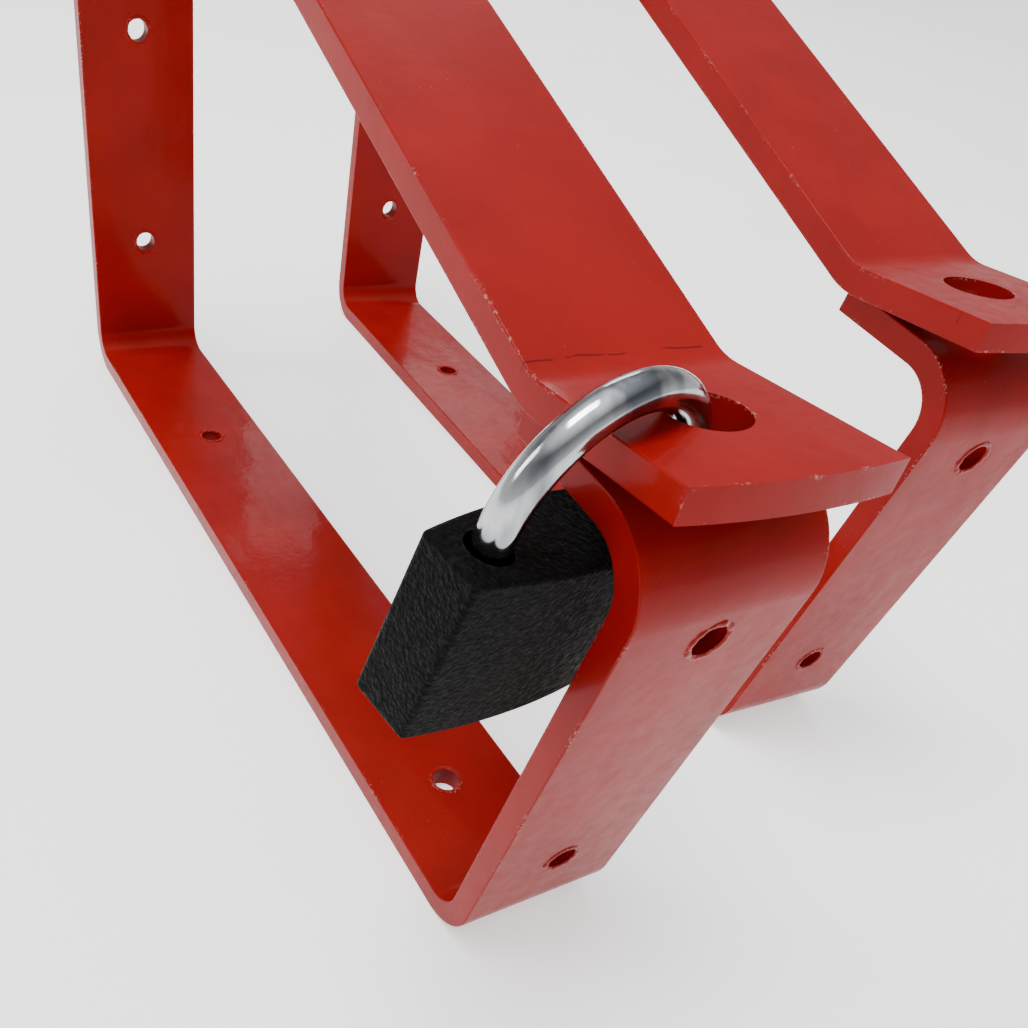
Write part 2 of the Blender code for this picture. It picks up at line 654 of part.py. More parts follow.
def main():
    clear_scene()
    enamel = material("red_enamel", (0.42, 0.012, 0.012), 0.28, 0.0)
    zinc_steel = material("plated_steel", (0.55, 0.55, 0.54), 0.35, 1.0)
    coat = material("black_crinkle_coat", (0.012, 0.013, 0.014), 0.6, 0.0)
    chrome = material("polished_chrome", (0.75, 0.76, 0.78), 0.12, 1.0)
    brass = material("brass", (0.62, 0.45, 0.20), 0.3, 1.0)
    zinc = material("cast_zinc", (0.35, 0.35, 0.36), 0.5, 1.0)
    lock = hung("padlock_origin", padlock(coat, chrome, zinc_steel, brass, zinc), LOCK_AT, LOCK_TURN)
    near_at = (0, 0, -WALL_MOUNT_LEVEL)
    far_at = (FAR_OFFSET[0], FAR_OFFSET[1], -WALL_MOUNT_LEVEL)
    for side, at, turn, extra in (("near", near_at, 0, lock), ("far", far_at, FAR_TURN, [])):
        pieces = bracket_frame(f"{side}_bracket_frame", enamel) + strap(f"{side}_strap", side, enamel)
        pieces += hinge_pin(f"{side}_hinge_pin", zinc_steel) + hinge_washer(f"{side}_hinge_washer", zinc_steel)
        hung(f"{side}_origin", pieces + extra, at, (0, 0, turn))


main()
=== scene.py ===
"""Looks for the pair of lockable wall storage brackets, in a pale studio.

The bars, the padlock's case and its shackle are drawn again here with finer bends, rolled edges
and the marks of punching.
"""

import math

import bmesh
import bpy
from mathutils import Matrix, Vector, noise


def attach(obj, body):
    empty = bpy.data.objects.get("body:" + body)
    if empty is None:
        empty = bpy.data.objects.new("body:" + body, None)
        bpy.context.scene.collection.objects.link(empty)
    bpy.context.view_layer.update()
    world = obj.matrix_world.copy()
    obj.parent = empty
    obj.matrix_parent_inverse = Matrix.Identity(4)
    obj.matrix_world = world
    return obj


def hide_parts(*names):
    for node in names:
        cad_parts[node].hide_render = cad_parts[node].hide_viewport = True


# Flat bar and bracket, in metres.
BAR_WIDTH = 0.030
HALF_WIDTH = BAR_WIDTH / 2
BAR_THICK = 0.0045
BAR_EDGE = 0.0007
ARC_STEP = math.radians(4)
ARM_REACH = 0.221
UPRIGHT_LEAN = math.radians(8.5)
CORNER_RADIUS = 0.00825
FLANGE_CORNER_RADIUS = 0.00975
FLANGE_END = (-0.2136, 0.0953)
FLANGE_FALL = math.radians(5.7)
FLANGE_HOLE_Y = -0.2268
BACK_HOLES_Z = (0.0370, 0.0910)
ARM_HOLES_Y = (-0.0629, -0.1992)
UPRIGHT_HOLES = (0.0175, 0.0726)
SCREW_HOLE_RADIUS = 0.0029
LOCK_HOLE_RADIUS = 0.0055
STRAP_BEND = (-0.2166, 0.1001)
STRAP_FALL = math.radians(20.4)
TAB_RISE = math.radians(4.0)
TAB_LENGTH = 0.0264
TAB_BOW = 0.0012
STRAP_BEND_RADIUS = 0.0125
TAB_HOLE_FROM_END = 0.0138
TAB_SKEW = 0.0022
TAB_CUT_REACH = 1.2
SIDE_PLAY = {"near": -0.0023, "far": -0.0050}
FRAME_EYE_INNER = 0.00275
STRAP_EYE_INNER = 0.0026
EYE_CURL = math.radians(285)
FRAME_KNUCKLE = 0.007
STRAP_KNUCKLE = 0.010
KNUCKLE_GAP = 0.0006
PIECE_GAP = 0.0003
FAR_OFFSET = (0.0944, 0.0226)
FAR_TURN = math.radians(-2.9)
FLOOR_LEVEL = -0.0640

# Padlock: its place in the near bracket's frame, and then its sizes in its own frame.
LOCK_AT = (-0.0152, -0.2284, 0.0873)
LOCK_TURN = (math.radians(6.5), math.radians(9.2), math.radians(10.5))
LOCK_HALF_WIDTH = 0.0207
LOCK_END_THICK = 0.0094
LOCK_MID_THICK = 0.0136
LOCK_HEIGHT = 0.0243
LOCK_WALL = 0.0020
LOCK_TOP_WALL = 0.0030
LOCK_EDGE = 0.0007
LEG_SPACING = 0.0297
LEG_RADIUS = 0.00235
LEG_STRAIGHT = 0.0034
LONG_LEG_DEPTH = 0.0155
SHORT_LEG_DEPTH = 0.0090
LEG_SOCKET_RADIUS = 0.0030
SOCKET_OVERRUN = 0.001
LEG_END_ROUND = 0.0005
LATCH_THICK = 0.0014
LATCH_LEVEL = -0.0045
LATCH_BITE = 0.0010
NOTCH_SLOPE = 0.0027
NOTCH_OVERRUN = 0.002
NOTCH_HALF_WIDTH = 0.004
STOP_PIN_RADIUS = 0.0008
SHACKLE_RISE = 0.0090
FLAT_FOOT = 0.0010
STOP_PIN_FOOT = 0.0020
FLAT_OVERRUN = 0.001
FLAT_HALF_WIDTH = 0.005

# Lip that punching threw up round a screw hole.
BURR_LIP = 0.00022
BURR_LIP_SPREAD = 0.00016
BURR_WIDTH = 0.00050
BURR_WIDTH_SPREAD = 0.00025
BURR_OUTSET = 0.35
BURR_WAVES = 3
UPRIGHT_BURR_SEED = {"near": 4, "far": 3}
BACK_BURR_SEED = 7
ARM_BURR_SEED = 9

# Fineness and shading of the meshes.
SMOOTH_ANGLE = math.radians(40)
BEVEL_ANGLE = math.radians(50)
BEVEL_SEGMENTS = 4
LEG_END_SEGMENTS = 3
ROD_SIDES = 48


# Shapes


def object_from(name, mesh_data, looks):
    bmesh.ops.recalc_face_normals(mesh_data, faces=mesh_data.faces)
    mesh = bpy.data.meshes.new(name)
    mesh_data.to_mesh(mesh)
    mesh_data.free()
    for look in looks:
        mesh.materials.append(look)
    mesh.shade_smooth()
    mesh.set_sharp_from_angle(angle=SMOOTH_ANGLE)
    obj = bpy.data.objects.new(name, mesh)
    bpy.context.scene.collection.objects.link(obj)
    return obj


def cut(obj, cutter):
    """Takes the cutter's solid out of the object for good, and removes the cutter."""
    modifier = obj.modifiers.new("cut", "BOOLEAN")
    modifier.operation = "DIFFERENCE"
    modifier.solver = "EXACT"
    modifier.object = cutter
    settle(obj)
    bpy.data.objects.remove(cutter, do_unlink=True)


def settle(obj):
    """Makes the object's modifiers part of its mesh."""
    graph = bpy.context.evaluated_depsgraph_get()
    mesh = bpy.data.meshes.new_from_object(obj.evaluated_get(graph))
    obj.modifiers.clear()
    obj.data = mesh


def even_normals(obj):
    """Keeps flat faces flat in shading, and lets the rolled edges and bends carry the turn."""
    obj.data.shade_smooth()
    obj.data.set_sharp_from_angle(angle=SMOOTH_ANGLE)
    modifier = obj.modifiers.new("normals", "WEIGHTED_NORMAL")
    modifier.mode = "FACE_AREA"
    modifier.weight = 100
    modifier.keep_sharp = True
    settle(obj)


def bevel(obj, width, segments):
    modifier = obj.modifiers.new("edges", "BEVEL")
    modifier.width = width
    modifier.segments = segments
    modifier.limit_method = "ANGLE"
    modifier.angle_limit = BEVEL_ANGLE


def rod(name, radius, low, high, place):
    """A round rod from low to high along the Z of its place."""
    made = bmesh.new()
    bmesh.ops.create_cone(
        made, cap_ends=True, segments=ROD_SIDES, radius1=radius, radius2=radius, depth=high - low
    )
    middle = Matrix.Translation((0, 0, (low + high) / 2))
    bmesh.ops.transform(made, matrix=place @ middle, verts=made.verts)
    return object_from(name, made, [])


def prism(name, outline, low, high, looks=()):
    """The (x, y) outline as a solid from low to high in Z."""
    made = bmesh.new()
    floor = made.faces.new([made.verts.new((x, y, low)) for x, y in outline])
    raised = bmesh.ops.extrude_face_region(made, geom=[floor])["geom"]
    for item in raised:
        if isinstance(item, bmesh.types.BMVert):
            item.co.z = high
    return object_from(name, made, looks)


def meeting_point(point_a, way_a, point_b, way_b):
    """Where two lines meet, each given by a point and a way."""
    across = way_a.x * way_b.y - way_a.y * way_b.x
    offset = point_b - point_a
    return point_a + way_a * ((offset.x * way_b.y - offset.y * way_b.x) / across)


def arc(centre, start, turn):
    """Points from start round the centre, through the turn."""
    steps = max(2, round(abs(turn) / ARC_STEP))
    spoke = start - centre
    points = []
    for k in range(steps + 1):
        angle = turn * k / steps
        y = spoke.x * math.cos(angle) - spoke.y * math.sin(angle)
        z = spoke.x * math.sin(angle) + spoke.y * math.cos(angle)
        points.append(centre + Vector((y, z)))
    return points


def rounded_path(corners, radii):
    """The path through the corners, with each inner corner bent to its radius."""
    path = [corners[0]]
    for before, corner, after, radius in zip(corners, corners[1:], corners[2:], radii):
        towards = (corner - before).normalized()
        onwards = (after - corner).normalized()
        turn = math.atan2(towards.x * onwards.y - towards.y * onwards.x, towards.dot(onwards))
        start = corner - towards * radius * math.tan(abs(turn) / 2)
        centre = start + Vector((-towards.y, towards.x)) * radius * math.copysign(1, turn)
        path += arc(centre, start, turn)
    return path + [corners[-1]]


def strap_lines():
    """The way that the strap falls, and its upward normal, as (y, z)."""
    way = Vector((math.cos(STRAP_FALL), math.sin(STRAP_FALL)))
    return way, Vector((-way.y, way.x))


def hinge_centre():
    _, normal = strap_lines()
    y = -(BAR_THICK + FRAME_EYE_INNER)
    level = normal.dot(Vector(STRAP_BEND)) - STRAP_EYE_INNER - BAR_THICK
    return Vector((y, (level - normal.x * y) / normal.y))


def upright_lines():
    """The way up the upright, its outward normal, and the foot of its inner face."""
    lean = Vector((-math.sin(UPRIGHT_LEAN), math.cos(UPRIGHT_LEAN)))
    return lean, Vector((-lean.y, lean.x)), Vector((-(BAR_THICK + ARM_REACH), BAR_THICK))


def frame_path():
    """The centreline of the bracket's bar, from the flange's tip to the end of its eye."""
    lean, outward, inner_foot = upright_lines()
    foot = inner_foot + outward * BAR_THICK / 2
    flange_way = Vector((-math.cos(FLANGE_FALL), -math.sin(FLANGE_FALL)))
    flange_end = Vector(FLANGE_END) - Vector((flange_way.y, -flange_way.x)) * BAR_THICK / 2
    corners = [
        flange_end,
        meeting_point(flange_end, flange_way, foot, lean),
        meeting_point(foot, lean, Vector((0, BAR_THICK / 2)), Vector((1, 0))),
        Vector((-BAR_THICK / 2, BAR_THICK / 2)),
        Vector((-BAR_THICK / 2, hinge_centre().y)),
    ]
    path = rounded_path(corners, (FLANGE_CORNER_RADIUS, CORNER_RADIUS, CORNER_RADIUS))
    return path + arc(hinge_centre(), corners[-1], EYE_CURL)[1:]


def tab_way():
    return Vector((-math.cos(TAB_RISE), math.sin(TAB_RISE)))


def strap_path():
    """The centreline of the strap's bar, from the tab's tip to the end of its eye."""
    way, normal = strap_lines()
    start = hinge_centre() + normal * (STRAP_EYE_INNER + BAR_THICK / 2)
    outward = tab_way()
    on_tab = Vector(STRAP_BEND) - Vector((outward.y, -outward.x)) * BAR_THICK / 2
    bend = meeting_point(on_tab, outward, start, way)
    corners = [on_tab + outward * (TAB_LENGTH + TAB_BOW + TAB_SKEW), bend, start]
    return rounded_path(corners, (STRAP_BEND_RADIUS,)) + arc(hinge_centre(), start, -EYE_CURL)[1:]


def bent_bar(name, path, looks):
    """The flat bar laid along a centreline of (y, z) points, with its edges rolled."""
    made = bmesh.new()
    rows = []
    sides = ((1, -HALF_WIDTH), (1, HALF_WIDTH), (-1, HALF_WIDTH), (-1, -HALF_WIDTH))
    for k, point in enumerate(path):
        before = (point - path[k - 1]).normalized() if k else None
        after = (path[k + 1] - point).normalized() if k + 1 < len(path) else None
        way = ((before or after) + (after or before)).normalized()
        normal = Vector((-way.y, way.x)) * BAR_THICK / 2 / way.dot(before or after)
        row = []
        for side, x in sides:
            spot = point + normal * side
            row.append(made.verts.new((x, spot.x, spot.y)))
        rows.append(row)
    for first, second in zip(rows, rows[1:]):
        for k in range(4):
            made.faces.new((first[k], first[(k + 1) % 4], second[(k + 1) % 4], second[k]))
    made.faces.new(rows[0][::-1])
    made.faces.new(rows[-1])
    obj = object_from(name, made, looks)
    bevel(obj, BAR_EDGE, BEVEL_SEGMENTS)
    settle(obj)
    return obj


def hole_place(at, way):
    """A frame whose Z runs along the hole, at a (y, z) point of the bar."""
    return Matrix.Translation((0, at.x, at.y)) @ Matrix.Rotation(math.atan2(-way.x, way.y), 4, "X")


def punch(obj, at, way, radius):
    """A round hole right through the bar, at a (y, z) point of it."""
    place = hole_place(at, way)
    reach = 3 * BAR_THICK
    cut(obj, rod("punch", radius, -reach, reach, place))


def knuckle_room(low_x, high_x, radius):
    """A cutter round the hinge's axis, where the other bar's knuckle turns."""
    centre = hinge_centre()
    place = Matrix.Translation((0, centre.x, centre.y)) @ Matrix.Rotation(math.pi / 2, 4, "Y")
    return rod("knuckle_room", radius, low_x, high_x, place)


def burr(name, at, way, radius, looks, seed):
    """The uneven lip that punching threw up round a hole, under the paint."""
    steps, sides = 72, 8
    place = hole_place(at, way)
    made = bmesh.new()
    rings = []
    for k in range(steps):
        angle = 2 * math.pi * k / steps
        at_angle = Vector((BURR_WAVES * math.cos(angle), BURR_WAVES * math.sin(angle), seed))
        rough = noise.noise(at_angle)
        lip = BURR_LIP + BURR_LIP_SPREAD * rough
        wide = BURR_WIDTH + BURR_WIDTH_SPREAD * rough
        ring = []
        for j in range(sides):
            turn = 2 * math.pi * j / sides
            out = radius + wide * BURR_OUTSET + wide * math.cos(turn)
            spot = Vector((out * math.cos(angle), out * math.sin(angle), lip * math.sin(turn)))
            ring.append(made.verts.new(place @ spot))
        rings.append(ring)
    for k in range(steps):
        first, second = rings[k], rings[(k + 1) % steps]
        for j in range(sides):
            made.faces.new((first[j], first[(j + 1) % sides], second[(j + 1) % sides], second[j]))
    return object_from(name, made, looks)


def bracket_frame(side, looks):
    """The bracket's bar with its holes, and then the burrs round its screw holes."""
    bar = bent_bar(f"{side}_frame_bar", frame_path(), looks)
    lean, outward, foot = upright_lines()
    for z in BACK_HOLES_Z:
        punch(bar, Vector((0, z)), Vector((1, 0)), SCREW_HOLE_RADIUS)
    for y in ARM_HOLES_Y:
        punch(bar, Vector((y, 0)), Vector((0, 1)), SCREW_HOLE_RADIUS)
    for height in UPRIGHT_HOLES:
        punch(bar, foot + lean * height, outward, SCREW_HOLE_RADIUS)
    fall = Vector((-math.sin(FLANGE_FALL), math.cos(FLANGE_FALL)))
    punch(bar, Vector((FLANGE_HOLE_Y, FLANGE_END[1])), fall, LOCK_HOLE_RADIUS)
    inner = HALF_WIDTH - FRAME_KNUCKLE
    cut(bar, knuckle_room(-inner, inner, STRAP_EYE_INNER + BAR_THICK + KNUCKLE_GAP))
    even_normals(bar)
    upright_rims = [foot + lean * height + outward * BAR_THICK for height in UPRIGHT_HOLES]
    back_rims = [Vector((-BAR_THICK, z)) for z in BACK_HOLES_Z]
    arm_rims = [Vector((y, BAR_THICK)) for y in ARM_HOLES_Y]
    rows = (
        ("upright", upright_rims, outward, UPRIGHT_BURR_SEED[side]),
        ("back", back_rims, Vector((1, 0)), BACK_BURR_SEED),
        ("arm", arm_rims, Vector((0, 1)), ARM_BURR_SEED),
    )
    burrs = []
    for where, rims, way, seed in rows:
        for k, rim in enumerate(rims):
            name = f"{side}_{where}_burr_{k}"
            burrs.append(burr(name, rim, way, SCREW_HOLE_RADIUS, looks, seed + k))
    return [bar] + burrs


def strap(side, looks):
    """The strap's bar with its knuckle, its bowed tip and its padlock hole."""
    bar = bent_bar(f"{side}_strap_bar", strap_path(), looks)
    half = STRAP_KNUCKLE / 2
    room = FRAME_EYE_INNER + BAR_THICK + KNUCKLE_GAP
    centre = -SIDE_PLAY[side] - HALF_WIDTH + FRAME_KNUCKLE + PIECE_GAP + half
    cut(bar, knuckle_room(-BAR_WIDTH, centre - half, room))
    cut(bar, knuckle_room(centre + half, BAR_WIDTH, room))
    cut(bar, tab_end())
    outward = tab_way()
    up = Vector((outward.y, -outward.x))
    at = strap_path()[0] - outward * (TAB_HOLE_FROM_END + TAB_BOW + TAB_SKEW)
    punch(bar, at, up, LOCK_HOLE_RADIUS)
    bar.data.transform(Matrix.Translation((SIDE_PLAY[side], 0, 0)))
    even_normals(bar)
    return bar


def tab_end():
    """A cutter that rounds the tab's front edge to a shallow bow, a little out of square."""
    radius = (HALF_WIDTH**2 + TAB_BOW**2) / (2 * TAB_BOW)
    tip = strap_path()[0].x
    spread = math.asin(HALF_WIDTH * TAB_CUT_REACH / radius)
    steps = 20
    outline = []
    for k in range(-steps, steps + 1):
        angle = spread * k / steps
        x = radius * math.sin(angle)
        skew = TAB_SKEW * (0.5 - x / BAR_WIDTH)
        outline.append((x, tip + radius * (1 - math.cos(angle)) + skew))
    outline += [(BAR_WIDTH, tip - BAR_WIDTH), (-BAR_WIDTH, tip - BAR_WIDTH)]
    return prism("tab_end", outline, STRAP_BEND[1] - BAR_WIDTH, STRAP_BEND[1] + BAR_WIDTH)


def lock_outline(inset):
    """The padlock's plan: flat ends, and front and back faces that swell towards the middle."""
    half_width = LOCK_HALF_WIDTH - inset
    steps = 40
    front = []
    for k in range(steps + 1):
        x = -half_width + 2 * half_width * k / steps
        swell = 1 - (x / LOCK_HALF_WIDTH) ** 2
        thick = LOCK_END_THICK + (LOCK_MID_THICK - LOCK_END_THICK) * swell
        front.append((x, -thick / 2 + inset))
    return front + [(x, -y) for x, y in reversed(front)]


def lock_case(looks):
    """The padlock's case, hollow from below, with a socket for each leg."""
    case = prism("padlock_case", lock_outline(0), -LOCK_HEIGHT, 0, looks)
    bevel(case, LOCK_EDGE, BEVEL_SEGMENTS)
    settle(case)
    cut(case, prism("hollow", lock_outline(LOCK_WALL), -2 * LOCK_HEIGHT, -LOCK_TOP_WALL))
    for side in (-1, 1):
        place = Matrix.Translation((side * LEG_SPACING / 2, 0, 0))
        low = -LOCK_TOP_WALL - SOCKET_OVERRUN
        cut(case, rod("socket", LEG_SOCKET_RADIUS, low, LOCK_TOP_WALL, place))
    even_normals(case)
    return case


def lock_shackle(looks):
    """The round bar bent to a U; the short leg has the latch's notch and the long leg a flat."""
    half = LEG_SPACING / 2
    steps, sides = 48, 40
    line = [(-half, -LONG_LEG_DEPTH), (-half, 0), (-half, LEG_STRAIGHT)]
    for k in range(1, steps):
        angle = math.pi * (1 - k / steps)
        line.append((half * math.cos(angle), LEG_STRAIGHT + half * math.sin(angle)))
    line += [(half, LEG_STRAIGHT), (half, 0), (half, -SHORT_LEG_DEPTH)]
    made = bmesh.new()
    rings = []
    for k, (x, z) in enumerate(line):
        angle = math.pi * min(max(k - 2, 0), steps) / steps
        ring = []
        for j in range(sides):
            turn = 2 * math.pi * j / sides
            out = LEG_RADIUS * math.cos(turn)
            y = LEG_RADIUS * math.sin(turn)
            ring.append(made.verts.new((x - math.cos(angle) * out, y, z + math.sin(angle) * out)))
        rings.append(ring)
    for first, second in zip(rings, rings[1:]):
        for j in range(sides):
            made.faces.new((first[j], first[(j + 1) % sides], second[(j + 1) % sides], second[j]))
    made.faces.new(rings[0])
    made.faces.new(rings[-1])
    loop = object_from("padlock_shackle_bar", made, looks)
    bevel(loop, LEG_END_ROUND, LEG_END_SEGMENTS)
    settle(loop)
    cut(loop, latch_notch(half - LEG_RADIUS))
    cut(loop, stop_flat(-half - LEG_RADIUS))
    even_normals(loop)
    return loop


def latch_notch(face):
    """The short leg's notch: square at its top, and sloping out to the leg's face at its foot."""
    top = LATCH_LEVEL + LATCH_THICK / 2 + 2 * PIECE_GAP
    bottom = LATCH_LEVEL - LATCH_THICK / 2 - 2 * PIECE_GAP
    foot = bottom - NOTCH_SLOPE
    deep = face + LATCH_BITE + PIECE_GAP
    clear = face - NOTCH_OVERRUN
    outline = [(clear, top), (deep, top), (deep, bottom), (face, foot), (clear, foot)]
    notch = prism("notch", outline, -NOTCH_HALF_WIDTH, NOTCH_HALF_WIDTH)
    notch.data.transform(Matrix.Rotation(math.radians(90), 4, "X"))
    return notch


def stop_flat(outer):
    """The long leg's flat, in which the stop pin sits."""
    low = -LONG_LEG_DEPTH + FLAT_FOOT
    high = -LONG_LEG_DEPTH + STOP_PIN_FOOT + SHACKLE_RISE + STOP_PIN_RADIUS + PIECE_GAP
    inner = outer + STOP_PIN_RADIUS + PIECE_GAP
    clear = outer - FLAT_OVERRUN
    wide = FLAT_HALF_WIDTH
    outline = [(clear, -wide), (inner, -wide), (inner, wide), (clear, wide)]
    return prism("flat", outline, low, high)


def lock_place():
    """The hanging padlock's place in the near bracket's frame."""
    tilt_x, tilt_y, turn = LOCK_TURN
    tilt = Matrix.Rotation(tilt_x, 4, "X") @ Matrix.Rotation(tilt_y, 4, "Y")
    return Matrix.Translation(LOCK_AT) @ (tilt @ Matrix.Rotation(turn, 4, "Z"))


def bracket_place(side):
    if side == "near":
        return Matrix.Translation((0, 0, FLOOR_LEVEL))
    return Matrix.Translation((*FAR_OFFSET, FLOOR_LEVEL)) @ Matrix.Rotation(FAR_TURN, 4, "Z")


# Materials

RED = (0.240, 0.0050, 0.0041, 1)
RED_DEEP = (0.205, 0.0040, 0.0033, 1)
PRIMER_CHIP = (0.46, 0.23, 0.20, 1)
# Dark colour painted as the shade of the crease across the strap's bend.
CREASE_SHADE = (0.060, 0.0015, 0.0012, 1)
# The painted crease shade runs just behind the strap's bend, on its upper face.
CREASE_SHADE_Y = STRAP_BEND[0] + 0.0022
CREASE_SHADE_Z = STRAP_BEND[1] + FLOOR_LEVEL - 0.0002
CREASE_SHADE_WAVER = 0.0005
CREASE_SHADE_FADE = 0.0004
# Painted shade for the wrinkles' pits and painted sheen for their tips.
BLACK_PIT_SHADE = (0.0006, 0.0007, 0.0007, 1)
BLACK_TIP_SHEEN = (0.0050, 0.0056, 0.0056, 1)
BLACK_RUB = (0.010, 0.011, 0.011, 1)
CHROME = (0.46, 0.47, 0.48, 1)
CHROME_HAZE = (0.36, 0.375, 0.40, 1)
# Bluish dark painted on the chrome as streaks of reflection.
CHROME_DARK_REFLECTION = (0.055, 0.060, 0.085, 1)
FLOOR_PALE = (0.86, 0.85, 0.84, 1)
FLOOR_PALER = (0.90, 0.895, 0.885, 1)
BRIGHT_EDGE = 1.3


class Look:
    """A node material under construction: each method adds one node and returns its output."""

    def __init__(self, name):
        self.material = bpy.data.materials.new(name)
        self.material.use_nodes = True
        self.tree = self.material.node_tree
        self.shader = self.tree.nodes["Principled BSDF"]
        self.place = self.tree.nodes.new("ShaderNodeTexCoord").outputs["Object"]

    def node(self, kind, **values):
        made = self.tree.nodes.new(kind)
        for key, value in values.items():
            setattr(made, key, value)
        return made

    def feed(self, socket, value):
        if isinstance(value, bpy.types.NodeSocket):
            self.tree.links.new(value, socket)
        else:
            socket.default_value = value

    def noise(self, scale, detail=2, roughness=0.5, stretch=None):
        made = self.node("ShaderNodeTexNoise")
        self.feed(made.inputs["Vector"], self.stretched(stretch) if stretch else self.place)
        made.inputs["Scale"].default_value = scale
        made.inputs["Detail"].default_value = detail
        made.inputs["Roughness"].default_value = roughness
        return made.outputs["Fac"]

    def stretched(self, factors):
        made = self.node("ShaderNodeMapping")
        self.feed(made.inputs["Vector"], self.place)
        made.inputs["Scale"].default_value = factors
        return made.outputs["Vector"]

    def cells(self, scale):
        made = self.node("ShaderNodeTexVoronoi")
        self.feed(made.inputs["Vector"], self.place)
        made.inputs["Scale"].default_value = scale
        return made.outputs["Distance"]

    def ramp(self, value, low, high, start=0.0, end=1.0):
        """value from low to high becomes start to end, held beyond both."""
        made = self.node("ShaderNodeMapRange")
        self.feed(made.inputs["Value"], value)
        made.inputs["From Min"].default_value = low
        made.inputs["From Max"].default_value = high
        made.inputs["To Min"].default_value = start
        made.inputs["To Max"].default_value = end
        return made.outputs["Result"]

    def combine(self, first, second, operation="MULTIPLY"):
        made = self.node("ShaderNodeMath", operation=operation)
        self.feed(made.inputs[0], first)
        self.feed(made.inputs[1], second)
        return made.outputs[0]

    def blend(self, factor, first, second):
        made = self.node("ShaderNodeMix", data_type="RGBA")
        self.feed(made.inputs["Factor"], factor)
        self.feed(made.inputs["A"], first)
        self.feed(made.inputs["B"], second)
        return made.outputs["Result"]

    def edge(self, radius, low, high):
        """1 on worn convex edges: where the rounded normal leaves the true one."""
        rounded = self.node("ShaderNodeBevel", samples=4)
        rounded.inputs["Radius"].default_value = radius
        true = self.node("ShaderNodeNewGeometry")
        same = self.node("ShaderNodeVectorMath", operation="DOT_PRODUCT")
        self.feed(same.inputs[0], rounded.outputs["Normal"])
        self.feed(same.inputs[1], true.outputs["Normal"])
        return self.ramp(same.outputs["Value"], high, low)

    def bump(self, height, strength, distance, below=None):
        """The height as a bump, on top of the normal of the bump below it."""
        made = self.node("ShaderNodeBump")
        self.feed(made.inputs["Height"], height)
        made.inputs["Strength"].default_value = strength
        made.inputs["Distance"].default_value = distance
        if below is not None:
            self.feed(made.inputs["Normal"], below)
        return made.outputs["Normal"]

    def set(self, **values):
        """Feeds the shader's sockets, named with _ for each space."""
        for key, value in values.items():
            self.feed(self.shader.inputs[key.replace("_", " ")], value)


def enamel():
    """Gloss enamel over bar stock: sagged, orange-peeled, thin and chipped on its edges."""
    look = Look("red_enamel_coat")
    patches = look.ramp(look.noise(60, 3), 0.35, 0.65)
    body = look.blend(patches, RED, RED_DEEP)
    edge = look.edge(0.0009, 0.90, 0.995)
    nicks = look.ramp(look.noise(2300, 2), 0.57, 0.63)
    chips = look.combine(edge, look.combine(nicks, look.ramp(look.noise(120, 2), 0.53, 0.62)))
    specks = look.ramp(look.noise(3800, 1), 0.78, 0.80)
    flecks = look.combine(specks, look.ramp(look.noise(90, 2), 0.5, 0.62))
    worn = look.combine(chips, flecks, "MAXIMUM")
    colour = look.blend(worn, body, PRIMER_CHIP)
    # Painted shade: a dark broken line along the crease at the strap's bend.
    colour = look.blend(bend_crease_shade(look), colour, CREASE_SHADE)
    sag = look.bump(look.noise(55, 2, stretch=(1, 0.35, 0.35)), 0.35, 0.0012)
    peel = look.bump(look.noise(700, 2), 0.22, 0.00012, sag)
    look.set(Base_Color=colour, Normal=peel)
    look.set(Roughness=look.ramp(look.noise(400, 3), 0.3, 0.7, 0.28, 0.42))
    look.set(Coat_Weight=0.24, Coat_IOR=1.25, Coat_Normal=peel, Specular_IOR_Level=0.05)
    look.set(Coat_Roughness=look.ramp(look.noise(150, 3), 0.35, 0.7, 0.04, 0.16))
    return look.material


def bend_crease_shade(look):
    """1 on the fine broken line of painted shade in the crease across the top of the strap's bend.
    """
    split = look.node("ShaderNodeSeparateXYZ")
    look.feed(split.inputs[0], look.place)
    waver = look.ramp(look.noise(90, 2), 0.3, 0.7, CREASE_SHADE_Y - CREASE_SHADE_WAVER, CREASE_SHADE_Y + CREASE_SHADE_WAVER)
    away = look.combine(look.combine(split.outputs["Y"], waver, "SUBTRACT"), 0.0, "ABSOLUTE")
    line = look.ramp(away, 0.00004, 0.00016, 0.85, 0.0)
    broken = look.ramp(look.noise(260, 3), 0.48, 0.56)
    on_strap = look.ramp(split.outputs["Z"], CREASE_SHADE_Z - CREASE_SHADE_FADE, CREASE_SHADE_Z)
    return look.combine(line, look.combine(broken, on_strap))


def crinkle():
    """Black coat that wrinkled as it cured, with painted shade in its pits and a painted sheen on
    its tips.
    """
    look = Look("black_crinkle")
    grain = look.noise(1300, 4, 0.68)
    lumps = look.cells(1600)
    height = look.combine(grain, look.combine(lumps, 0.6), "ADD")
    rough = look.bump(height, 1.0, 0.00028)
    fine = look.bump(look.noise(3500, 3, 0.7), 0.5, 0.00008, rough)
    # Painted shade in the pits and painted sheen on the tips, following the wrinkles' height.
    pit_shade_to_tip_sheen = look.ramp(grain, 0.52, 0.72)
    colour = look.blend(pit_shade_to_tip_sheen, BLACK_PIT_SHADE, BLACK_TIP_SHEEN)
    rub = look.combine(look.edge(0.0010, 0.88, 0.99), look.ramp(look.noise(1500, 2), 0.5, 0.62))
    look.set(Base_Color=look.blend(rub, colour, BLACK_RUB), Normal=fine)
    look.set(Roughness=look.ramp(look.noise(1200, 2), 0.3, 0.7, 0.42, 0.68))
    look.set(Specular_IOR_Level=0.05)
    return look.material


